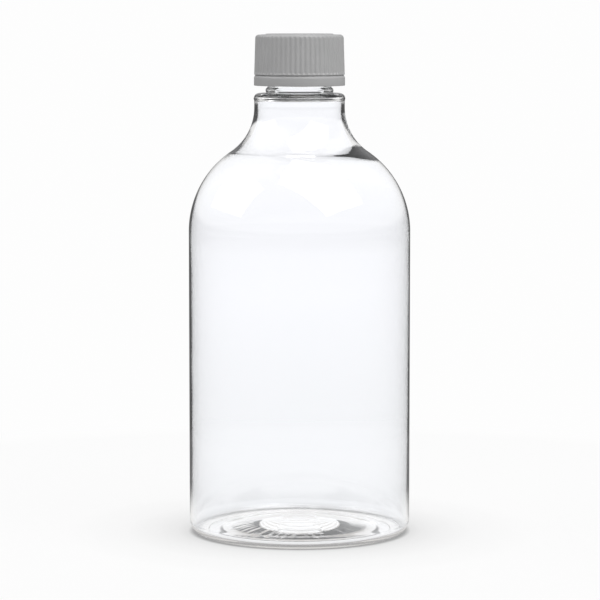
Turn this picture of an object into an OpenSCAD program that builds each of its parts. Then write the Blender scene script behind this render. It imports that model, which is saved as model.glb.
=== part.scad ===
// Mouthwash bottle with a push-and-turn closure.
// Origin: centre of the base on the standing plane. +Z runs up the bottle's axis.

/* [Bottle] */
// Outside diameter of the body
body_d = 75; // [72:0.5:78]
// Height at which the straight wall ends and the shoulder starts
shoulder_z = 102.5; // [90:0.5:120]
// Radius of the rounded shoulder
shoulder_r = 32.6; // [31.5:0.1:33]
// Angle over which the shoulder rounds before it turns up into the neck
shoulder_a = 55.9; // [54:0.1:57]
// Wall thickness half way up the body
wall = 0.65; // [0.5:0.05:0.9]
// Height of the rounded heel
heel_h = 4.6; // [4:0.1:6]
// Rise of the pushed-up base at its centre
punt_h = 2.4; // [1.8:0.1:2.8]
// Diameter of the pushed-up dome where it leaves the base
punt_d = 52; // [48:1:56]

/* [Neck] */
// Outside diameter of the collar under the closure
collar_d = 30.54; // [30:0.1:31]
// Height of the collar's straight wall, ledge included
collar_h = 4.75; // [4.5:0.05:6]
// Diameter of the pouring bore
bore_d = 16.6; // [16:0.2:18]
// Outside diameter of the neck under the thread
neck_d = 21.5; // [21.4:0.1:21.6]
// Outside diameter over the thread
thread_d = 23.7; // [23.4:0.1:23.8]
// Rise of the thread in one turn
thread_pitch = 3.175; // [3.1:0.005:3.2]
// Turns of thread on the neck
thread_turns = 1.5; // [1:0.25:1.75]

/* [Closure] */
// Diameter over the ribs at the lower edge of the outer shell
shell_d = 30.5; // [30.4:0.05:30.6]
// Number of flutes round the outer shell
flute_count = 57; // [40:1:64]
// Depth of a flute
flute_depth = 0.26; // [0.1:0.02:0.26]
// Gap between the outer shell and the tamper band, which is the push-down room
push_gap = 0.45; // [0.42:0.01:0.5]
// Diameter of the raised panel on top
panel_d = 22.8; // [20:0.2:24]
// Number of drive lugs between the shell and the inner cap
lug_count = 12; // [6:1:16]
// Number of bridge stubs on top of the tamper band
bridge_count = 8; // [6:1:12]
// Thickness of the sealing wad
liner_t = 0.95; // [0.8:0.05:1]

/* [Hidden] */
$fn = 96;

rb = body_d / 2;                       // body radius
rc = collar_d / 2;                     // collar radius
rn = neck_d / 2;                       // neck wall radius
rt = thread_d / 2;                     // thread crest radius
ri = bore_d / 2;                       // bore radius
c1 = [rb - shoulder_r, shoulder_z];    // centre of the shoulder arc
// radius of the concave sweep, tangent to the shoulder arc and to the collar wall
sweep_r = (c1[0] + shoulder_r * cos(shoulder_a) - rc) / (1 - cos(shoulder_a));
c2 = [rc + sweep_r, shoulder_z + (shoulder_r + sweep_r) * sin(shoulder_a)];
zl = c2[1] + collar_h;                 // top of the ledge
lip_z = zl + 15.75;                    // top of the neck
rp = punt_d / 2;                       // foot of the pushed-up dome
ring_ri = rb - 6.4;                    // standing ring, inside
ring_ro = rb - 2.9;                    // standing ring, outside
shell_z0 = zl + 5.8 + push_gap;        // lower edge of the outer shell
shell_z1 = zl + 19.7;                  // rim of the outer shell
shell_in = shell_z1 - 1.3;             // underside of its top
panel_t = 0.3;
cap_z0 = shell_z0 + 0.45;              // lower edge of the inner cap
cap_in = lip_z + liner_t;              // underside of the inner cap's top
cap_z1 = shell_in - 0.9;               // upper face of the inner cap
cap_ri = 12.3;                         // inside of the inner cap
cap_ro = 13.5;                         // outside of the inner cap
band_z0 = zl + 2.6;
band_z1 = zl + 5.8;
clear = "aliceblue";
grey = [0.62, 0.62, 0.63];
white = [0.90, 0.90, 0.89];
foam = [0.93, 0.92, 0.88];

heel_ri = 4.5;                         // inside radius of the heel
boss_r = 18;                           // thick middle of the base, radius
boss_h = 0.8;                          // and how much thicker it is

// points on an arc
function arc(c, r, a0, a1, n) =
    [for (i = [0:n]) let (a = a0 + (a1 - a0) * i / n) c + r * [cos(a), sin(a)]];
// underside of the pushed-up dome, and its upper side
function punt(r) = 0.2 + (punt_h - 0.2) * (1 - pow(r / rp, 2.6));
function punt_top(r) = 0.9 + (punt_h + 0.6) * (1 - pow(r / rp, 2.6))
    + boss_h * pow(max(0, 1 - pow(r / boss_r, 2)), 2);
// wall thickness down the neck's sweep: u degrees round its arc, thickest near its foot
function sweep_wall(u) = lookup(u, [[0, 1.12], [8, 1.32], [16, 1.46], [24, 1.44], [34, 1.40], [43, 1.26], [56, 0.96]]);

// Helical ridge. ra is the buried edge, rcr the crest; wa and wc are their half widths.
// It rises by one pitch per turn and runs out to nothing at both ends.
module helix(ra, rcr, wa, wc, z0, turns, a0, per = 60) {
    n = round(turns * per);
    fade = 6;
    function k(i) = min(1, min(i, n - i) / fade + 0.03);
    pts = [for (i = [0:n]) let (a = a0 + 360 * turns * i / n,
                                z = z0 + thread_pitch * turns * i / n,
                                h = ra + (rcr - ra) * (0.36 + 0.64 * k(i)), w = 0.4 + 0.6 * k(i))
               for (q = [[ra, -wa * w], [h, -wc * w], [h, wc * w], [ra, wa * w]])
                   [q[0] * cos(a), q[0] * sin(a), z + q[1]]];
    flip = rcr > ra;
    side = [for (i = [0:n - 1]) for (j = [0:3]) let (p = 4 * i + j, q = 4 * i + (j + 1) % 4)
               [p, q, q + 4, p + 4]];
    ends = [[3, 2, 1, 0], [4 * n, 4 * n + 1, 4 * n + 2, 4 * n + 3]];
    all = concat(side, ends);
    polyhedron(points = pts, faces = flip ? all : [for (f = all) [for (m = [len(f) - 1:-1:0]) f[m]]],
               convexity = 6);
}

// Half section of the bottle: outside from the base up, then inside back down
function bottle_outside() = concat(
    [for (i = [0:11]) let (r = (rp - 0.4) * i / 11) [r, punt(r)]],
    [[rp + 0.3, 0.22], [rp + 1.2, 0.2], [ring_ri - 0.3, 0.2], [ring_ri, 0]],
    [for (i = [0:8]) let (a = 90 * i / 8)
        [ring_ro + (rb - ring_ro) * sin(a), heel_h * (1 - cos(a))]],
    arc(c1, shoulder_r, 0, shoulder_a, 18),
    [for (i = [1:14]) let (a = 180 + shoulder_a * (1 - i / 14)) c2 + sweep_r * [cos(a), sin(a)]],
    [[rc, zl - 2.45], [rc + 0.12, zl - 2.1], [rc + 0.18, zl - 1.75], [rc + 0.16, zl - 1.55],
     [rc + 0.02, zl - 1.25]],
    arc([rc - 1.47, zl - 1.5], 1.5, 20, 90, 6),
    [[11.25, zl], [11.33, zl + 0.35], [11.44, zl + 0.9], [11.38, zl + 1.3], [11.12, zl + 1.75],
     [rn, zl + 2.1],
     [rn, zl + 4.5], [11.8, zl + 4.65], [11.8, zl + 5.0], [rn, zl + 5.9],
     [rn, lip_z - 0.3], [rn - 0.3, lip_z]]);

function bottle_inside() = concat(
    [[ri + 0.25, lip_z], [ri, lip_z - 0.25]],
    arc([ri + 1.9, zl + 0.6], 1.9, 180, 270, 7),
    arc([12.7, zl - 2.7], 1.4, 90, 0, 5),
    [for (i = [0:11]) let (u = shoulder_a * i / 11, a = 180 + u)
        c2 + (sweep_r + sweep_wall(u)) * [cos(a), sin(a)]],
    [for (i = [1:15]) let (a = shoulder_a * (1 - i / 15), t = 0.6 + 0.36 * pow(1 - i / 15, 5))
        c1 + (shoulder_r - t) * [cos(a), sin(a)]],
    [[rb - wall, shoulder_z * 0.55], [rb - wall - 0.22, 12]],
    arc([rb - wall - 0.27 - heel_ri, 0.95 + heel_ri], heel_ri, 0, -90, 9),
    [[ring_ri, 0.9], [rp + 1.6, 0.9], [rp + 0.5, 0.95]],
    [for (i = [0:11]) let (r = (rp - 0.3) * (1 - i / 11)) [r, punt_top(r)]]);

module bottle() {
    color(clear) {
        rotate_extrude() polygon(concat(bottle_outside(), bottle_inside()));
        helix(rn - 0.4, rt, 0.95, 0.35, lip_z - 7.1, thread_turns, 20);
    }
}

module liner() {
    color(foam) translate([0, 0, lip_z]) cylinder(r = cap_ri - 0.3, h = liner_t);
}

module lugs(r0, r1, z0, z1, w, a0) {
    for (i = [0:lug_count - 1]) rotate(a0 + 360 * i / lug_count)
        translate([r0, -w / 2, z0]) cube([r1 - r0, w, z1 - z0]);
}

module inner_cap() {
    color(white) {
        rotate_extrude() polygon([
            [0, cap_in], [cap_ri - 0.2, cap_in], [cap_ri, cap_in - 0.2], [cap_ri, cap_z0],
            [13.55, cap_z0], [13.7, cap_z0 + 0.15], [13.7, cap_z0 + 0.5], [cap_ro, cap_z0 + 0.8],
            [cap_ro, cap_z1 - 0.5], [cap_ro - 0.5, cap_z1], [0, cap_z1]]);
        helix(cap_ri + 0.4, 11.1, 0.95, 0.35, lip_z - 7.1 - 1.35, thread_turns, 20, 60);
        lugs(7, 11.4, cap_z1 - 0.3, cap_z1 + 0.45, 1.1, 0);
    }
}

module outer_shell() {
    rt1 = shell_d / 2 - 0.35;      // radius at the top of the draft
    fz = shell_z0 + 0.95;          // where the flutes end
    draft = atan(0.35 / (shell_z1 - shell_z0));
    cut_r = 0.85;
    color(grey) {
        difference() {
            rotate_extrude() polygon(concat(
                [[13.45, shell_z0 + 0.12], [13.57, shell_z0], [14.0, shell_z0], [14.1, shell_z0 + 0.1],
                 [14.1, shell_z0 + 0.45], [14.95, shell_z0 + 0.45], [14.95, shell_z0 + 0.14],
                 [15.08, shell_z0 + 0.01], [shell_d / 2 - 0.1, shell_z0], [shell_d / 2, shell_z0 + 0.1]],
                arc([rt1 - 1.25, shell_z1 - 1.25], 1.25, 0, 90, 8),
                [[panel_d / 2 + 0.15, shell_z1], [panel_d / 2, shell_z1 + panel_t * 0.5],
                 [panel_d / 2 - 0.2, shell_z1 + panel_t], [0, shell_z1 + panel_t],
                 [0, shell_in], [13.35, shell_in], [13.85, shell_in - 0.5],
                 [13.85, shell_z0 + 0.6], [13.45, shell_z0 + 0.35]]));
            for (i = [0:flute_count - 1]) rotate(360 * i / flute_count - 90)
                translate([shell_d / 2 + cut_r - flute_depth, 0, fz])
                    rotate([0, -draft, 0]) union() {
                        cylinder(r = cut_r, h = 16, $fn = 32);
                        sphere(r = cut_r, $fn = 32);
                    }
        }
        lugs(7, 11.4, cap_z1 + 0.47, shell_in + 0.3, 1.1, 180 / lug_count);
    }
}

module tamper_band() {
    ro = shell_d / 2 + 0.1;
    lip_ro = 14.85;                // lip that closes the gap under the outer shell
    color(grey) {
        rotate_extrude() polygon([
            [14.2, band_z0 + 0.1], [14.3, band_z0], [ro - 0.2, band_z0], [ro, band_z0 + 0.2],
            [ro - 0.02, band_z1 - 0.17], [lip_ro + 0.02, band_z1 + 0.33], [lip_ro, shell_z0 - 0.05],
            [14.35, shell_z0 - 0.05],
            [14.35, band_z1], [12.4, band_z1],
            [12.4, band_z0 + 1.75], [11.2, band_z0 + 1.75], [11.2, band_z0 + 1.35],
            [12.2, band_z0 + 0.4], [13.1, band_z0 + 0.4], [13.1, band_z1 - 0.9], [14.2, band_z1 - 0.9]]);
        for (i = [0:bridge_count - 1]) rotate(360 * (i + 0.5) / bridge_count)
            translate([12.5, -0.3, band_z1 - 0.2]) cube([0.6, 0.6, 0.2 + (cap_z0 - band_z1) - 0.08]);
    }
}

bottle();
liner();
inner_cap();
outer_shell();
tamper_band();
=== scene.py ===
import bpy
import math
import numpy as np
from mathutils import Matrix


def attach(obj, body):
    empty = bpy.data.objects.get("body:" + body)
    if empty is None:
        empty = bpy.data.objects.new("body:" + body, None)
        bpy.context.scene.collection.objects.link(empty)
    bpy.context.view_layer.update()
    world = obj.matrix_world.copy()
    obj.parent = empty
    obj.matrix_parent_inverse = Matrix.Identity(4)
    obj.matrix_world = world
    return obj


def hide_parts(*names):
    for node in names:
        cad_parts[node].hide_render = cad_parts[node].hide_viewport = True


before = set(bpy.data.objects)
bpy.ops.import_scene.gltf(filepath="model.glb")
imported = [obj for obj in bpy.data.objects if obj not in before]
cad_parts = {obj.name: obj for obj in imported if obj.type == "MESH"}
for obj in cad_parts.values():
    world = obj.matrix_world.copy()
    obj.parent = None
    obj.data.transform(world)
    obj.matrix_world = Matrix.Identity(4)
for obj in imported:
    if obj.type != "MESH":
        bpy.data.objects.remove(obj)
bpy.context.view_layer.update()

MM = 0.001
SEG = 384

# ---------------------------------------------------------------- dimensions (mm), as in the CAD source
RB, RC = 37.5, 15.27
SHOULDER_Z, SHOULDER_R, SHOULDER_A = 102.5, 32.6, math.radians(55.9)
C1 = np.array([RB - SHOULDER_R, SHOULDER_Z])
SWEEP_R = (C1[0] + SHOULDER_R * math.cos(SHOULDER_A) - RC) / (1 - math.cos(SHOULDER_A))
C2 = np.array([RC + SWEEP_R, SHOULDER_Z + (SHOULDER_R + SWEEP_R) * math.sin(SHOULDER_A)])
ZL = C2[1] + 4.75
LIP = ZL + 15.75
RN, RT, RI = 10.75, 11.85, 8.3
THICK = 0.7
PITCH, TURNS, A0 = 3.175, 1.5, math.radians(20)
WALL = 0.58
HEEL_H = 4.6
HEEL_R = 4.5
RP, PUNT_H, PUNT_P = 26.0, 2.4, 2.6
TOP_H, BOSS_R, BOSS_H = 3.0, 18.0, 0.8
RIPPLE, FINE = 0.02, 0.008
DROP, FRONT = -0.12, 0.6
RING_I, RING_O = RB - 6.4, RB - 2.9
SHELL_D = 30.5
FLUTES, FLUTE_D, CUT_R = 57, 0.26, 0.85
SHELL_Z0 = ZL + 6.25
SHELL_Z1 = ZL + 19.7
SHELL_IN = SHELL_Z1 - 1.3
CAP_Z0 = SHELL_Z0 + 0.45
CAP_IN = LIP + 0.95
CAP_Z1 = SHELL_IN - 0.9
BAND_Z0, BAND_Z1 = ZL + 2.6, ZL + 5.8
TAU = 2 * math.pi


# ---------------------------------------------------------------- profile and mesh helpers
def arc(c, r, a0, a1, n):
    a = np.radians(np.linspace(a0, a1, n + 1))
    return [(c[0] + r * math.cos(x), c[1] + r * math.sin(x)) for x in a]


def rounded(pts, n=5):
    """A polyline of (r, z, radius): each corner is rounded with its own radius."""
    out = []
    for i, p in enumerate(pts):
        rad = p[2] if len(p) > 2 else 0
        if rad <= 0 or i in (0, len(pts) - 1):
            out.append((p[0], p[1]))
            continue
        b = np.array(p[:2], float)
        a = np.array(pts[i - 1][:2], float)
        c = np.array(pts[i + 1][:2], float)
        u, v = a - b, c - b
        lu, lv = np.linalg.norm(u), np.linalg.norm(v)
        u, v = u / lu, v / lv
        half = math.acos(max(-1, min(1, float(np.dot(u, v))))) / 2
        if half > math.radians(89):
            out.append((p[0], p[1]))
            continue
        d = min(rad / math.tan(half), 0.49 * lu, 0.49 * lv)
        rr = d * math.tan(half)
        m = (u + v) / np.linalg.norm(u + v)
        o = b + m * rr / math.sin(half)
        s, e = b + u * d - o, b + v * d - o
        a_s, a_e = math.atan2(s[1], s[0]), math.atan2(e[1], e[0])
        da = (a_e - a_s + math.pi) % TAU - math.pi
        for k in range(n + 1):
            t = a_s + da * k / n
            out.append((o[0] + rr * math.cos(t), o[1] + rr * math.sin(t)))
    return out


def fill(pts, step):
    """Adds points so that no straight run is longer than step."""
    out = [pts[0]]
    for a, b in zip(pts, pts[1:]):
        n = max(1, int(math.ceil(math.hypot(b[0] - a[0], b[1] - a[1]) / step)))
        for k in range(1, n + 1):
            out.append((a[0] + (b[0] - a[0]) * k / n, a[1] + (b[1] - a[1]) * k / n))
    return out


def unique(pts, eps=1e-4):
    out = [pts[0]]
    for p in pts[1:]:
        if math.hypot(p[0] - out[-1][0], p[1] - out[-1][1]) > eps:
            out.append(p)
    return out


def lathe(name, prof, seg=SEG, move=None, sharp=40.0, ring=False):
    """Turns a half section into a closed mesh. move(theta, r, z) may shift the points."""
    prof = np.array(unique(prof), float)
    n = len(prof)
    theta = np.arange(seg) * TAU / seg
    T, R = np.meshgrid(theta, prof[:, 0])
    Z = np.repeat(prof[:, 1:2], seg, 1)
    if move:
        R2, Z2 = move(T, R.copy(), Z.copy())
        axis = prof[:, 0] < 1e-6
        R2[axis] = 0
        R, Z = R2, Z2
    index = np.zeros((n, seg), np.int64)
    verts = []
    for i in range(n):
        if prof[i, 0] < 1e-6:
            index[i, :] = len(verts)
            verts.append((0.0, 0.0, float(Z[i, 0]) * MM))
        else:
            base = len(verts)
            index[i, :] = base + np.arange(seg)
            verts.extend(
                zip(
                    (R[i] * np.cos(theta) * MM).tolist(),
                    (R[i] * np.sin(theta) * MM).tolist(),
                    (Z[i] * MM).tolist(),
                )
            )
    faces = []
    rows = [(i, i + 1) for i in range(n - 1)] + ([(n - 1, 0)] if ring else [])
    for i, k in rows:
        a, b = index[i], np.roll(index[i], -1)
        c, d = np.roll(index[k], -1), index[k]
        if a[0] == a[1] and c[0] == c[1]:
            continue
        if a[0] == a[1]:
            faces.extend(zip(a.tolist(), c.tolist(), d.tolist()))
        elif c[0] == c[1]:
            faces.extend(zip(a.tolist(), b.tolist(), c.tolist()))
        else:
            faces.extend(zip(a.tolist(), b.tolist(), c.tolist(), d.tolist()))
    return mesh_object(name, verts, faces, sharp)


def mesh_object(name, verts, faces, sharp=40.0):
    me = bpy.data.meshes.new(name)
    me.from_pydata(verts, [], faces)
    me.validate()
    me.polygons.foreach_set("use_smooth", [True] * len(me.polygons))
    if sharp:
        me.set_sharp_from_angle(angle=math.radians(sharp))
    me.update()
    ob = bpy.data.objects.new(name, me)
    bpy.context.scene.collection.objects.link(ob)
    return ob


def join(name, objects):
    """One mesh from several, in this order."""
    verts, faces, smooth, base = [], [], [], 0
    edges = []
    for o in objects:
        me = o.data
        verts.extend([tuple(v.co) for v in me.vertices])
        faces.extend([tuple(base + i for i in p.vertices) for p in me.polygons])
        base += len(me.vertices)
    for o in objects:
        me = o.data
        bpy.data.objects.remove(o, do_unlink=True)
        bpy.data.meshes.remove(me)
    return mesh_object(name, verts, faces)


def block(name, corners, bevel=0.08):
    """A six-sided block from its 8 corners (mm), low face then high face, with bevelled edges."""
    import bmesh
    bm = bmesh.new()
    vs = [bm.verts.new([c * MM for c in p]) for p in corners]
    for f in ((3, 2, 1, 0), (4, 5, 6, 7), (0, 1, 5, 4), (1, 2, 6, 5), (2, 3, 7, 6), (3, 0, 4, 7)):
        bm.faces.new([vs[i] for i in f])
    bmesh.ops.bevel(bm, geom=bm.edges[:], offset=bevel * MM, segments=2, profile=0.6, affect="EDGES")
    bmesh.ops.recalc_face_normals(bm, faces=bm.faces[:])
    me = bpy.data.meshes.new(name)
    bm.to_mesh(me)
    bm.free()
    ob = bpy.data.objects.new(name, me)
    bpy.context.scene.collection.objects.link(ob)
    return ob


def polar_block(name, r0, r1, z0, z1, w, a, bevel=0.08, w1=None):
    """A block that points along a radius at angle a."""
    w1 = w if w1 is None else w1
    ca, sa = math.cos(a), math.sin(a)
    pts = []
    for z, ww in ((z0, w), (z1, w1)):
        for r, t in ((r0, -ww / 2), (r1, -ww / 2), (r1, ww / 2), (r0, ww / 2)):
            pts.append((r * ca - t * sa, r * sa + t * ca, z))
    return block(name, pts, bevel)


def smooth_min(a, b, k):
    h = np.clip(0.5 + 0.5 * (b - a) / k, 0, 1)
    return b * (1 - h) + a * h - k * h * (1 - h)


def smoothstep(x):
    x = np.clip(x, 0, 1)
    return x * x * (3 - 2 * x)


def thread(T, Z, z0, w_root, w_crest, height):
    """Height of a helical ridge at angle T and height Z, with run-outs at both ends."""
    out = np.zeros_like(Z)
    turn = ((T - A0) % TAU) / TAU
    for k in range(int(math.ceil(TURNS)) + 1):
        t = turn + k
        on = smoothstep(t / 0.11) * smoothstep((TURNS - t) / 0.11)
        on = np.where((t >= 0) & (t <= TURNS), on, 0)
        d = np.abs(Z - (z0 + PITCH * t))
        h = smoothstep((w_root - d) / (w_root - w_crest)) * height * on
        out = np.maximum(out, h)
    return out


# ---------------------------------------------------------------- bottle
def punt(r):
    return 0.2 + (PUNT_H - 0.2) * (1 - (r / RP) ** PUNT_P)


def punt_top(r):
    boss = BOSS_H * np.clip(1 - (r / BOSS_R) ** 2, 0, 1) ** 2
    return 0.9 + TOP_H * (1 - (r / RP) ** PUNT_P) + boss


def wall(u):
    """Wall thickness of the neck's sweep at u degrees down its arc, before the thick side is added."""
    tab = ((0, 1.12), (8, 1.32), (16, 1.46), (24, 1.40), (34, 1.15), (46, 0.86), (56, 0.70))
    us, ts = [a for a, _ in tab], [b for _, b in tab]
    k = sum(w * float(np.interp(u + d, us, ts)) for d, w in ((-6, 0.1), (-3, 0.2), (0, 0.4), (3, 0.2), (6, 0.1)))
    return k


def bottle_profile():
    out = []
    # underside: a shallow dome inside the standing ring
    out += [(r, punt(r)) for r in np.linspace(0, RP - 1.2, 30)]
    out += rounded([(RP - 1.2, punt(RP - 1.2)), (RP, 0.2, 5), (RING_I - 0.3, 0.2, 0.3), (RING_I, 0, 0.3), (RING_I + 1, 0)], 8)
    out += [(RING_O + (RB - RING_O) * math.sin(a), HEEL_H * (1 - math.cos(a))) for a in np.linspace(0, math.pi / 2, 28)]
    out += fill([(RB, HEEL_H), (RB, SHOULDER_Z)], 3.0)
    out += arc(C1, SHOULDER_R, 0, math.degrees(SHOULDER_A), 60)
    out += arc(C2, SWEEP_R, 180 + math.degrees(SHOULDER_A), 180, 48)
    out += rounded(
        [(RC, C2[1]), (RC, ZL - 2.5, 0.8), (RC + 0.18, ZL - 1.85, 0.5), (RC + 0.17, ZL - 1.5, 0.35), (RC + 0.0, ZL - 1.28, 0.2)], 6
    )[:-1]
    out += arc((RC - 1.47, ZL - 1.5), 1.5, 12, 90, 18)
    out += rounded(
        [(RC - 1.47, ZL), (11.22, ZL, 0.2), (11.36, ZL + 0.5, 0.5), (11.46, ZL + 0.95, 0.8), (11.34, ZL + 1.45, 0.6),
         (RN, ZL + 2.1, 0.15), (RN, ZL + 4.5, 0.12), (11.8, ZL + 4.65, 0.12), (11.8, ZL + 5.05, 0.15), (RN, ZL + 5.95, 0.3),
         (RN, ZL + 6.2)], 6
    )
    neck = fill([(RN, ZL + 6.2), (RN, LIP - 0.3)], 0.09)
    out += neck
    out += rounded([(RN, LIP - 0.3), (RN, LIP, 0.3), (RI, LIP, 0.25), (RI, LIP - 1)], 6)
    # inside, from the bore down
    out += fill([(RI, LIP - 1), (RI, ZL + 0.6)], 1.5)
    out += arc((RI + 1.9, ZL + 0.6), 1.9, 180, 270, 16)
    out += arc((12.7, ZL - 2.7), 1.4, 90, 0, 14)
    for u in np.linspace(0.5, math.degrees(SHOULDER_A), 46):
        a = math.radians(180 + u)
        out.append((C2[0] + (SWEEP_R + wall(u)) * math.cos(a), C2[1] + (SWEEP_R + wall(u)) * math.sin(a)))
    for d in np.linspace(SHOULDER_A * 180 / math.pi - 1, 0, 60):
        t = 0.60 + 0.10 * math.exp(-(math.degrees(SHOULDER_A) - d) / 9)
        a = math.radians(d)
        out.append((C1[0] + (SHOULDER_R - t) * math.cos(a), C1[1] + (SHOULDER_R - t) * math.sin(a)))
    out += fill([(RB - WALL + 0.05, SHOULDER_Z), (RB - WALL, SHOULDER_Z * 0.55), (RB - WALL - 0.22, 12)], 3.0)[1:]
    cr = RB - WALL - 0.27
    out += rounded([(cr, 8), (cr, 0.95, HEEL_R), (RING_I, 0.90)], 20)
    out += rounded([(RING_I, 0.90), (RP + 1.2, 0.90, 6), (RP - 2.6, punt_top(RP - 2.6))], 14)[1:]
    out += [(r, punt_top(r)) for r in np.linspace(RP - 3.2, 7.2, 24)]
    out += rounded([(7.0, punt_top(7.0)), (6.2, punt_top(6.2) + 0.02, 0.6), (5.9, punt_top(5.9) + 0.09, 0.3), (5.5, punt_top(5.5) + 0.09, 0.3),
                    (5.0, punt_top(5.0), 0.5), (2.5, punt_top(2.5) - 0.06, 1.5), (0, punt_top(0) - 0.08)], 6)
    return out


def bottle_shape(T, R, Z):
    # thread on the outside of the neck
    neck = (np.abs(R - RN) < 0.02) & (Z > ZL + 6.1) & (Z < LIP - 0.25)
    R = np.where(neck, RN + thread(T, Z, LIP - 7.1, 0.79, 0.35, RT - RN), R)
    # the inner face of the blown wall is a little uneven
    inner = (R < RB - 0.3) & (R > 20) & (Z > 8) & (Z < 126)
    body = (Z < SHOULDER_Z + 0.01) | (np.hypot(R - C1[0], Z - C1[1]) < SHOULDER_R - 0.3)
    wave = (
        0.5 * np.sin(3 * T + 0.9 + Z * 0.021)
        + 0.35 * np.sin(5 * T - 2.1 - Z * 0.033)
        + 0.25 * np.sin(Z * 0.145 + 2 * np.sin(T + 0.4))
        + 0.15 * np.sin(Z * 0.31 + 3 * T)
    )
    env = smoothstep((Z - 8) / 10) * smoothstep((122 - Z) / 14)
    R = np.where(inner & body, R + 0.05 * wave * env, R)
    # and so is the inside of its base, in fine rays from the gate
    base = (Z > 0.8) & (Z < 6) & (R < RING_I) & (R > 7.2)
    ray = (
        np.sin(23 * T + 0.7 + 0.22 * R) + np.sin(31 * T - 1.9 + 0.35 * np.sin(0.5 * R + 2 * T)) + 0.8 * np.sin(47 * T + 2.6 - 0.12 * R)
    ) * (0.5 + 0.5 * np.cos(T + 2.7)) ** 2
    front = np.exp(-(((T + 1.5 * math.pi) % TAU - math.pi) / FRONT) ** 2)
    fine = (np.sin(59 * T + 1.1 + 0.1 * R) + np.sin(43 * T - 0.6 + 0.5 * np.sin(0.6 * R))) * front
    Z = np.where(base, Z - DROP * front * (1 - np.clip(R / RP, 0, 1) ** PUNT_P) * smoothstep((R - 9) / 6), Z)
    Z = np.where(base, Z + (RIPPLE * ray + FINE * fine) * smoothstep((R - 15.5) / 4) * smoothstep((RP - 1 - R) / 4), Z)
    # the wall is thicker at the foot of the neck on one side, as blown plastic often is
    a2 = np.arctan2(C2[1] - Z, C2[0] - R)
    d2 = np.hypot(R - C2[0], Z - C2[1])
    a1 = np.arctan2(Z - C1[1], R - C1[0])
    d1 = np.hypot(R - C1[0], Z - C1[1])
    on2 = (Z > C2[1] - (SWEEP_R + 2) * math.sin(SHOULDER_A)) & (Z < C2[1]) & (d2 > SWEEP_R + 0.3) & (d2 < SWEEP_R + 2) & (a2 <= SHOULDER_A + 0.005)
    on1 = (~on2) & (a1 > math.radians(30)) & (a1 < SHOULDER_A) & (d1 < SHOULDER_R - 0.3) & (d1 > SHOULDER_R - 2) & (Z > SHOULDER_Z)
    along = np.where(on2, -SWEEP_R * (SHOULDER_A - a2), SHOULDER_R * (SHOULDER_A - a1))
    rise = smoothstep((along + 13) / 9.5)
    fall = smoothstep((5.0 - along) / 9.0)
    lobe = 0.55 + 0.45 * np.cos(T)
    extra = np.where(on2 | on1, THICK * np.minimum(rise, fall) * lobe, 0)
    R = R + np.where(on2, -np.cos(a2) * extra, np.where(on1, -np.cos(a1) * extra, 0))
    Z = Z + np.where(on2, -np.sin(a2) * extra, np.where(on1, -np.sin(a1) * extra, 0))
    # the body stays inside the CAD's faceted circle
    R = R * (1 - 0.0006 * smoothstep((R - 30) / 5))
    return R, Z


bottle = lathe("bottle_blown", bottle_profile(), SEG, bottle_shape, sharp=50)


# ---------------------------------------------------------------- outer shell
def shell_profile():
    rt1 = SHELL_D / 2 - 0.35
    out = rounded([(0, SHELL_IN), (13.0, SHELL_IN, 0), (13.85, SHELL_IN, 0.6), (13.85, SHELL_Z0 + 0.65, 0.12),
                   (13.45, SHELL_Z0 + 0.38, 0.1), (13.45, SHELL_Z0, 0.12), (14.1, SHELL_Z0, 0.1), (14.1, SHELL_Z0 + 0.45, 0.06),
                   (14.95, SHELL_Z0 + 0.45, 0.05), (14.95, SHELL_Z0 + 0.13, 0.03), (15.1, SHELL_Z0, 0.04),
                   (SHELL_D / 2, SHELL_Z0, 0.09), (SHELL_D / 2, SHELL_Z0 + 0.4)], 5)
    side = [(SHELL_D / 2, SHELL_Z0 + 0.4), (rt1, SHELL_Z1 - 1.25)]
    zs = list(np.arange(SHELL_Z0 + 0.4, SHELL_Z0 + 1.4, 0.07)) + list(np.linspace(SHELL_Z0 + 1.6, SHELL_Z1 - 1.25, 14))
    out += [(np.interp(z, [side[0][1], side[1][1]], [side[0][0], side[1][0]]), z) for z in zs]
    out += arc((rt1 - 1.25, SHELL_Z1 - 1.25), 1.25, 2, 90, 22)
    out += rounded([(13.4, SHELL_Z1), (11.55, SHELL_Z1, 0.2), (11.25, SHELL_Z1 + 0.3, 0.22), (9, SHELL_Z1 + 0.3)], 6)
    out += rounded([(9, SHELL_Z1 + 0.3), (1.15, SHELL_Z1 + 0.3, 0.15), (0.95, SHELL_Z1 + 0.16, 0.12), (0, SHELL_Z1 + 0.14)], 4)
    return out


def shell_shape(T, R, Z):
    draft = 0.35 / (SHELL_Z1 - SHELL_Z0)
    fz = SHELL_Z0 + 0.95
    pitch = TAU / FLUTES
    dt = (T + math.pi / 2 + pitch / 2) % pitch - pitch / 2
    s = R * np.sin(dt)
    axis_r = SHELL_D / 2 + CUT_R - FLUTE_D - draft * (Z - SHELL_Z0)
    below = np.minimum(Z - fz, 0)
    reach = np.sqrt(np.clip(CUT_R ** 2 - s ** 2 - below ** 2, 0, None))
    cut = np.where(reach > 0, axis_r - reach, 99)
    outer = (R > 14.99) & (Z > SHELL_Z0 + 0.18) | (R > 14.2) & (Z > SHELL_Z0 + 1.5)
    R = np.where(outer, smooth_min(R, cut, 0.05), R)
    return R, Z


shell_body = lathe("shell_body", shell_profile(), FLUTES * (16), shell_shape, sharp=60)
lug_parts = [
    polar_block(f"lug{i}", 7, 11.4, CAP_Z1 + 0.47, SHELL_IN + 0.2, 1.1, math.radians(15 + 30 * i), 0.1) for i in range(12)
]
shell = join("shell_ribbed", [shell_body] + lug_parts)


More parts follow.
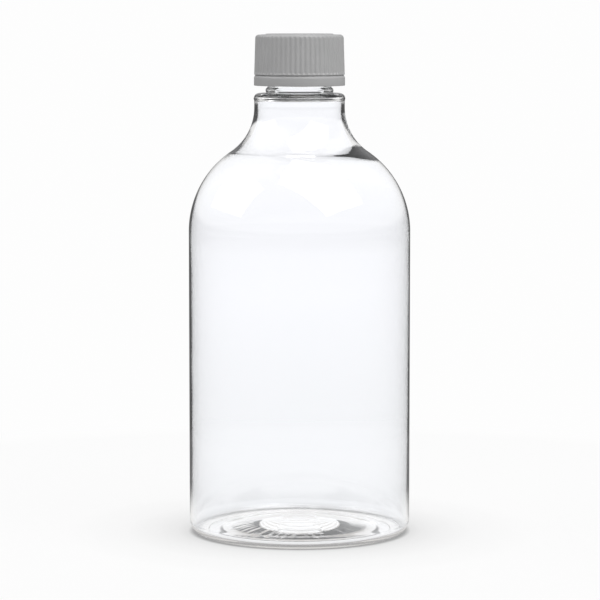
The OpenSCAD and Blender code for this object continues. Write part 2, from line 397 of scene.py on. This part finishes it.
# ---------------------------------------------------------------- tamper band
def band_profile():
    ro = SHELL_D / 2 + 0.1
    return rounded([
        (12.8, BAND_Z1), (12.4, BAND_Z1, 0.15), (12.4, BAND_Z0 + 1.75, 0.15), (11.2, BAND_Z0 + 1.75, 0.12),
        (11.2, BAND_Z0 + 1.35, 0.12), (12.2, BAND_Z0 + 0.4, 0.15), (13.1, BAND_Z0 + 0.4, 0.15),
        (13.1, BAND_Z1 - 0.9, 0.2), (14.2, BAND_Z1 - 0.9, 0.2), (14.2, BAND_Z0, 0.12), (ro, BAND_Z0, 0.2),
        (ro - 0.01, BAND_Z1 - 0.46, 0.1), (15.10, BAND_Z1 + 0.0, 0.06), (15.09, BAND_Z1 + 0.09, 0.04), (14.87, BAND_Z1 + 0.33, 0.05), (14.85, SHELL_Z0 - 0.05, 0.05),
        (14.35, SHELL_Z0 - 0.05, 0.05), (14.35, BAND_Z1, 0.06), (12.8, BAND_Z1)], 4)


def to_ring(pts):
    pts = unique(pts)
    if math.hypot(pts[0][0] - pts[-1][0], pts[0][1] - pts[-1][1]) < 1e-3:
        pts = pts[:-1]
    return pts


band_ring = lathe("band_ring", to_ring(band_profile()), 256, ring=True)
stubs = [
    polar_block(f"stub{i}", 12.5, 13.1, BAND_Z1 - 0.2, CAP_Z0 - 0.08, 0.6, TAU * (i + 0.5) / 8, 0.06, 0.42) for i in range(8)
]
band = join("band_moulded", [band_ring] + stubs)


# ---------------------------------------------------------------- inner cap
def inner_profile():
    out = rounded([(0, CAP_IN), (12.3, CAP_IN, 0.25), (12.3, CAP_IN - 1)], 5)
    out += fill([(12.3, CAP_IN - 1), (12.3, CAP_Z0 + 0.3)], 0.12)
    out += rounded([(12.3, CAP_Z0 + 0.3), (12.3, CAP_Z0, 0.15), (13.7, CAP_Z0, 0.15), (13.7, CAP_Z0 + 0.5, 0.2),
                    (13.5, CAP_Z0 + 0.85, 0.3), (13.5, CAP_Z1, 0.5), (7, CAP_Z1), (1.0, CAP_Z1, 0.1), (0.8, CAP_Z1 - 0.1, 0.1), (0, CAP_Z1 - 0.1)], 5)
    return out


def inner_shape(T, R, Z):
    bore = (np.abs(R - 12.3) < 0.02) & (Z > CAP_Z0 + 0.2) & (Z < CAP_IN - 0.3)
    # the ridge's half width at the wall, then at its crest
    return np.where(bore, 12.3 - thread(T, Z, LIP - 7.1 - 1.35, 0.80, 0.35, 1.2), R), Z


inner_body = lathe("inner_body", inner_profile(), 240, inner_shape)
inner_lugs = [
    polar_block(f"ilug{i}", 7, 11.4, CAP_Z1 - 0.3, CAP_Z1 + 0.45, 1.1, math.radians(30 * i), 0.1) for i in range(12)
]
inner = join("inner_cap_moulded", [inner_body] + inner_lugs)

# ---------------------------------------------------------------- sealing wad
wad = lathe(
    "wad",
    rounded([(0, LIP + 0.02), (7.9, LIP + 0.02, 0.1), (8.3, LIP, 0.1), (10.7, LIP, 0.1), (11.1, LIP + 0.02, 0.1), (12.0, LIP + 0.02, 0.12),
             (12.0, LIP + 0.95, 0.12), (0, LIP + 0.95)], 4),
    192,
)


# ---------------------------------------------------------------- materials
def new_material(name):
    m = bpy.data.materials.new(name)
    m.use_nodes = True
    nt = m.node_tree
    bsdf = nt.nodes["Principled BSDF"]
    return m, nt, bsdf


def noise(nt, scale, detail=3.0, rough=0.5, coord=None, dist=0.0):
    n = nt.nodes.new("ShaderNodeTexNoise")
    n.inputs["Scale"].default_value = scale
    n.inputs["Detail"].default_value = detail
    n.inputs["Roughness"].default_value = rough
    n.inputs["Distortion"].default_value = dist
    if coord is not None:
        nt.links.new(coord, n.inputs["Vector"])
    return n


def object_coord(nt):
    return nt.nodes.new("ShaderNodeTexCoord").outputs["Object"]


def ramp(nt, fac, stops):
    r = nt.nodes.new("ShaderNodeValToRGB")
    els = r.color_ramp.elements
    while len(els) > 1:
        els.remove(els[-1])
    els[0].position, els[0].color = stops[0][0], (*stops[0][1], 1)
    for p, c in stops[1:]:
        e = els.new(p)
        e.color = (*c, 1)
    nt.links.new(fac, r.inputs["Fac"])
    return r.outputs["Color"]


def bump(nt, height, strength, distance):
    b = nt.nodes.new("ShaderNodeBump")
    b.inputs["Strength"].default_value = strength
    b.inputs["Distance"].default_value = distance
    nt.links.new(height, b.inputs["Height"])
    return b.outputs["Normal"]


# clear blown plastic
clear_mat, nt, bsdf = new_material("clear_pet")
bsdf.inputs["Base Color"].default_value = (0.985, 0.99, 0.995, 1)
bsdf.inputs["Transmission Weight"].default_value = 1.0
bsdf.inputs["Roughness"].default_value = 0.0
bsdf.inputs["IOR"].default_value = 1.575
co = object_coord(nt)
flow = noise(nt, 38.0, 2.0, 0.45, co, 0.3)
nt.links.new(bump(nt, flow.outputs["Fac"], 0.25, 0.00012), bsdf.inputs["Normal"])


def plastic(name, dark, light, rough0, rough1, grain=900.0, bump_d=0.00002):
    m, nt, bsdf = new_material(name)
    co = object_coord(nt)
    cloud = noise(nt, 120.0, 4.0, 0.55, co)
    col = ramp(nt, cloud.outputs["Fac"], [(0.3, dark), (0.7, light)])
    nt.links.new(col, bsdf.inputs["Base Color"])
    fine = noise(nt, grain, 3.0, 0.6, co)
    mr = nt.nodes.new("ShaderNodeMapRange")
    mr.inputs["To Min"].default_value = rough0
    mr.inputs["To Max"].default_value = rough1
    nt.links.new(fine.outputs["Fac"], mr.inputs["Value"])
    nt.links.new(mr.outputs["Result"], bsdf.inputs["Roughness"])
    nt.links.new(bump(nt, fine.outputs["Fac"], 0.35, bump_d), bsdf.inputs["Normal"])
    bsdf.inputs["IOR"].default_value = 1.49
    return m


grey_mat = plastic("grey_pp", (0.375, 0.375, 0.376), (0.395, 0.395, 0.396), 0.40, 0.52)
white_mat = plastic("natural_pp", (0.74, 0.74, 0.72), (0.80, 0.80, 0.785), 0.36, 0.48)
foam_mat = plastic("foam_wad", (0.80, 0.79, 0.74), (0.88, 0.87, 0.83), 0.75, 0.9, 1600.0, 0.00005)

for ob, mat, slot, body, node in (
    (bottle, clear_mat, "clear_pet", "bottle", "bottle"),
    (shell, grey_mat, "grey_pp", "outer_shell", "outer_shell"),
    (band, grey_mat, "grey_pp", "tamper_band", "tamper_band"),
    (inner, white_mat, "natural_pp", "inner_cap", "inner_cap"),
    (wad, foam_mat, "foam_wad", "liner", "liner"),
):
    ob.data.materials.append(mat)
    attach(ob, body)
    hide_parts(node)


# ---------------------------------------------------------------- stage, light and camera
def math_node(nt, op, a, b):
    n = nt.nodes.new("ShaderNodeMath")
    n.operation = op
    for i, v in enumerate((a, b)):
        if hasattr(v, "is_linked"):
            nt.links.new(v, n.inputs[i])
        else:
            n.inputs[i].default_value = v
    return n.outputs[0]


def mix_colour(nt, fac, a, b):
    n = nt.nodes.new("ShaderNodeMix")
    n.data_type = "RGBA"
    for sock, v in ((n.inputs[0], fac), (n.inputs[6], a), (n.inputs[7], b)):
        if hasattr(v, "is_linked"):
            nt.links.new(v, sock)
        elif isinstance(v, (int, float)):
            sock.default_value = v
        else:
            sock.default_value = (*v, 1)
    return n.outputs[2]


def light_path(nt):
    """The light path node, and 1 or 0 for: went into the clear wall, went through two walls, was mirrored."""
    lp = nt.nodes.new("ShaderNodeLightPath")
    t1 = math_node(nt, "GREATER_THAN", lp.outputs["Transmission Depth"], 0.5)
    t3 = math_node(nt, "GREATER_THAN", lp.outputs["Transmission Depth"], 2.5)
    g1 = math_node(nt, "GREATER_THAN", lp.outputs["Glossy Depth"], 0.5)
    return lp, t1, t3, g1


def map_range(nt, value, lo, hi, smooth=False):
    n = nt.nodes.new("ShaderNodeMapRange")
    if smooth:
        n.interpolation_type = "SMOOTHSTEP"
    n.inputs["From Min"].default_value, n.inputs["From Max"].default_value = lo, hi
    nt.links.new(value, n.inputs["Value"])
    return n.outputs["Result"]


world = bpy.data.worlds.new("studio")
bpy.context.scene.world = world
world.use_nodes = True
nt = world.node_tree
bg = nt.nodes["Background"]
lp, t1, t3, g1 = light_path(nt)
co = nt.nodes.new("ShaderNodeTexCoord").outputs["Generated"]
sep = nt.nodes.new("ShaderNodeSeparateXYZ")
nt.links.new(co, sep.inputs[0])
up = map_range(nt, sep.outputs["Z"], 0.0, 0.10, True)
low = map_range(nt, sep.outputs["Z"], 0.0, 0.35, True)
side = map_range(nt, sep.outputs["X"], -1, 1)
room = mix_colour(nt, side, (0.41, 0.412, 0.415), (0.68, 0.68, 0.68))
room = mix_colour(nt, map_range(nt, sep.outputs["Z"], 0.3, 1.0, True), room, (0.18, 0.18, 0.183))
mirror = mix_colour(nt, low, (0.20, 0.20, 0.202), (0.60, 0.60, 0.61))
straight = (1.05, 1.05, 1.08)
deep = mix_colour(nt, up, (0.030, 0.030, 0.032), (0.95, 0.94, 0.93))
high = map_range(nt, sep.outputs["Z"], 0.50, 0.72, True)
deep = mix_colour(nt, t3, deep, mix_colour(nt, high, (1.18, 1.185, 1.20), (0.74, 0.68, 0.64)))
outside = mix_colour(nt, g1, room, mirror)
inside = mix_colour(nt, g1, straight, deep)
col = mix_colour(nt, t1, outside, inside)
col = mix_colour(nt, lp.outputs["Is Camera Ray"], col, (0.985, 0.985, 0.985))
nt.links.new(col, bg.inputs["Color"])
bg.inputs["Strength"].default_value = 1.0

# floor: a plane that gives off its own light, at a brightness set by the kind of ray, with a painted contact shadow
# round the bottle's foot
fl = bpy.data.meshes.new("floor")
S = 12.0
fl.from_pydata([(-S, -S, 0), (S, -S, 0), (S, S, 0), (-S, S, 0)], [], [(0, 1, 2, 3)])
floor = bpy.data.objects.new("floor", fl)
bpy.context.scene.collection.objects.link(floor)
fm = bpy.data.materials.new("floor")
fm.use_nodes = True
nt = fm.node_tree
for n in list(nt.nodes):
    nt.nodes.remove(n)
outn = nt.nodes.new("ShaderNodeOutputMaterial")
lp, t1, t3, g1 = light_path(nt)
co = nt.nodes.new("ShaderNodeTexCoord").outputs["Object"]
ln = nt.nodes.new("ShaderNodeVectorMath")
ln.operation = "LENGTH"
nt.links.new(co, ln.inputs[0])
dist = ln.outputs["Value"]
# painted contact shadow: the floor's light is darkened by distance from the bottle's axis alone, warm grey under the
# base, a dark ring just outside the standing ring, then fading to white; it is multiplied into every kind of ray, so it
# shows beside the foot and through the base
shade = ramp(
    nt,
    map_range(nt, dist, 0.0, 0.08),
    [(0.0, (0.59, 0.54, 0.49)), (0.24, (0.60, 0.555, 0.51)), (0.37, (0.80, 0.79, 0.78)), (0.415, (0.80, 0.79, 0.78)),
     (0.433, (0.36, 0.36, 0.36)), (0.452, (0.38, 0.38, 0.38)), (0.475, (0.79, 0.79, 0.79)), (0.52, (0.86, 0.86, 0.86)),
     (0.60, (0.91, 0.91, 0.91)), (0.74, (0.965, 0.965, 0.965)), (0.9, (0.985, 0.985, 0.985)), (1.0, (1.0, 1.0, 1.0))],
)
away = map_range(nt, dist, 0.05, 0.11, True)
seen = mix_colour(nt, 1.0, (0.985, 0.985, 0.985), (0.985, 0.985, 0.985))
through = ramp(
    nt,
    map_range(nt, dist, 0.08, 3.3),
    [(0.0, (1.0, 1.005, 1.02)), (0.22, (1.08, 1.08, 1.11)), (0.31, (1.07, 1.07, 1.10)), (0.46, (0.985, 0.985, 1.015)), (0.6, (1.01, 1.01, 1.04)), (1.0, (1.08, 1.08, 1.11))],
)
mirror = mix_colour(nt, away, (0.80, 0.80, 0.80), (0.20, 0.20, 0.20))
deep = mix_colour(nt, away, (1.0, 0.99, 0.98), (0.05, 0.05, 0.05))
deep = mix_colour(nt, t3, deep, (1.18, 1.18, 1.18))
outside = mix_colour(nt, g1, (0.64, 0.64, 0.64), mirror)
outside = mix_colour(nt, lp.outputs["Is Camera Ray"], outside, seen)
inside = mix_colour(nt, g1, through, deep)
glow = mix_colour(nt, t1, outside, inside)
mul = nt.nodes.new("ShaderNodeMix")
mul.data_type = "RGBA"
mul.blend_type = "MULTIPLY"
mul.inputs[0].default_value = 1.0
nt.links.new(glow, mul.inputs[6])
nt.links.new(shade, mul.inputs[7])
em = nt.nodes.new("ShaderNodeEmission")
nt.links.new(mul.outputs[2], em.inputs["Color"])
df = nt.nodes.new("ShaderNodeBsdfDiffuse")
df.inputs["Color"].default_value = (0.8, 0.8, 0.8, 1)
mx = nt.nodes.new("ShaderNodeMixShader")
share = map_range(nt, dist, 0.10, 0.25, True)
nt.links.new(math_node(nt, "MAXIMUM", share, 0.92), mx.inputs["Fac"])
nt.links.new(df.outputs[0], mx.inputs[1])
nt.links.new(em.outputs[0], mx.inputs[2])
nt.links.new(mx.outputs[0], outn.inputs["Surface"])
fl.materials.append(fm)


def softbox(name, az, el, dist, w, h, radiance, du=0.0, dv=0.0, roll=0.0):
    """An area light that faces the bottle from azimuth az (0 = camera side, + = right) and elevation el,
    moved du sideways and dv up in its own plane."""
    from mathutils import Vector, Matrix
    a, e = math.radians(az), math.radians(el)
    d = Vector((math.sin(a) * math.cos(e), -math.cos(a) * math.cos(e), math.sin(e)))
    u = Vector((0, 0, 1)).cross(d).normalized()
    v = d.cross(u)
    li = bpy.data.lights.new(name, "AREA")
    li.shape = "RECTANGLE"
    li.size, li.size_y = w, h
    li.energy = radiance * w * h * math.pi
    ob = bpy.data.objects.new(name, li)
    bpy.context.scene.collection.objects.link(ob)
    ob.location = Vector((0, 0, 0.11)) + d * dist + u * du + v * dv
    ob.rotation_mode = "QUATERNION"
    m = Matrix((u, v, d)).transposed() @ Matrix.Rotation(math.radians(roll), 3, "Z")
    ob.rotation_quaternion = m.to_quaternion()
    ob.visible_camera = False
    return ob


softbox("softbox_left", -85, 33, 1.45, 1.30, 0.95, 1.8, du=-0.12, dv=0.08)
softbox("softbox_right", 60, 52, 1.40, 1.30, 2.05, 2.75, du=-0.32, dv=0.36, roll=6)

cam = bpy.data.cameras.new("camera")
cam.sensor_width = 36
cam.lens = 172.3
cam_ob = bpy.data.objects.new("camera", cam)
bpy.context.scene.collection.objects.link(cam_ob)
cam_ob.location = (0.00017, -0.970, 0.178)
cam_ob.rotation_euler = (math.radians(90 - 5.823), 0, 0)
cam.clip_start, cam.clip_end = 0.05, 60
bpy.context.scene.camera = cam_ob

sc = bpy.context.scene
sc.view_settings.view_transform = "Standard"
sc.view_settings.look = "None"
sc.view_settings.exposure = 0
sc.view_settings.gamma = 1
sc.cycles.max_bounces = 24
sc.cycles.transmission_bounces = 24
sc.cycles.glossy_bounces = 16
sc.cycles.diffuse_bounces = 4
sc.cycles.transparent_max_bounces = 16
sc.cycles.sample_clamp_indirect = 6.0
